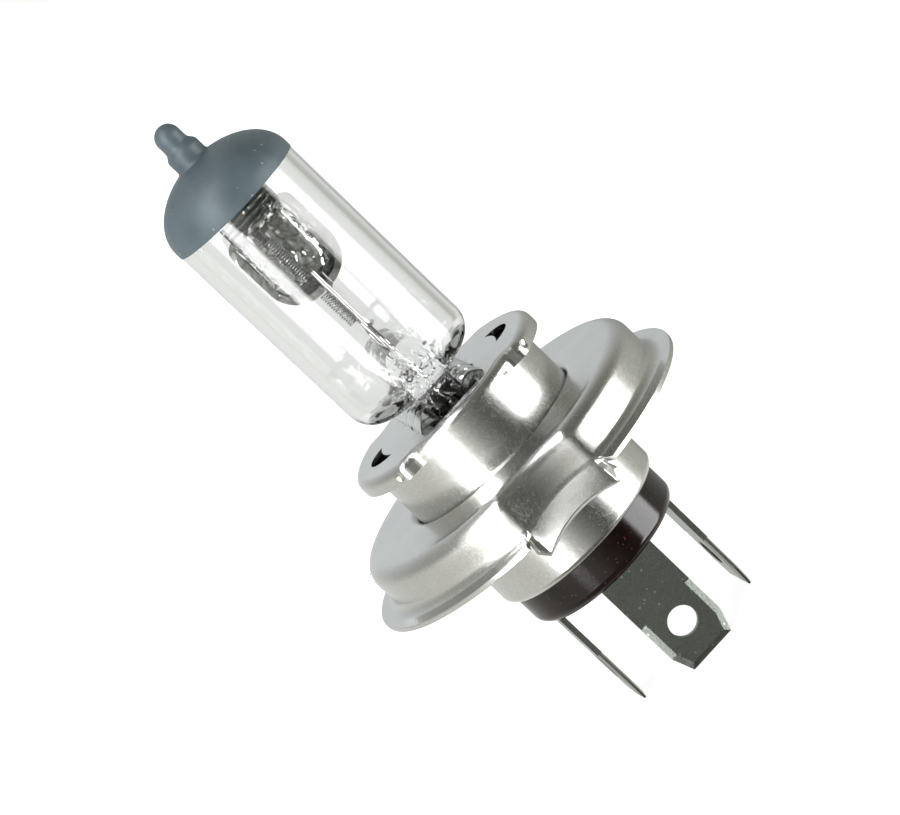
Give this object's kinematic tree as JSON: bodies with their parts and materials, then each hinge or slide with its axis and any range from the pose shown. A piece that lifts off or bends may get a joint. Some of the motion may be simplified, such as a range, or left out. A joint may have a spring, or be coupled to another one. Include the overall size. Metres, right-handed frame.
{
  "type": "headlight bulb",
  "caption": "Twin-filament halogen headlight bulb with a pre-focus flange and three flat terminals",
  "frame": {"origin": "on the bulb's axis, in the plane of the glass-side face of the reference flange's lip", "axes": "+Z along the bulb's axis towards the glass tip, -Y towards the notch of the flange and the middle terminal, +X to the right seen from the notch side"},
  "size_m": [0.043, 0.0423, 0.0789],
  "materials": {
    "quartz": "clear, polished",
    "coating": "matt opaque paint",
    "polished_steel": "polished",
    "satin_steel": "satin rolled sheet",
    "molybdenum": "drawn wire",
    "tungsten": "drawn wire",
    "terminal_metal": "dull plated sheet",
    "insulator": "moulded, slightly glossy"
  },
  "bodies": {
    "root": {"glass_envelope": "quartz", "opaque_tip_coating": "coating", "low_beam_shield": "polished_steel", "shield_post": "molybdenum", "shield_weld_tab": "polished_steel", "low_beam_filament": "tungsten", "high_beam_filament": "tungsten", "low_beam_lead": "molybdenum", "common_lead": "molybdenum", "high_beam_lead": "molybdenum", "burner_holder": "satin_steel", "focusing_sleeve": "satin_steel", "reference_flange": "satin_steel", "base_shell": "satin_steel", "insulator": "insulator", "low_beam_terminal": "terminal_metal", "common_terminal": "terminal_metal", "high_beam_terminal": "terminal_metal", "low_beam_foil": "molybdenum", "common_foil": "molybdenum", "high_beam_foil": "molybdenum", "low_beam_pin": "molybdenum", "common_pin": "molybdenum", "high_beam_pin": "molybdenum"}
  },
  "joints": []
}
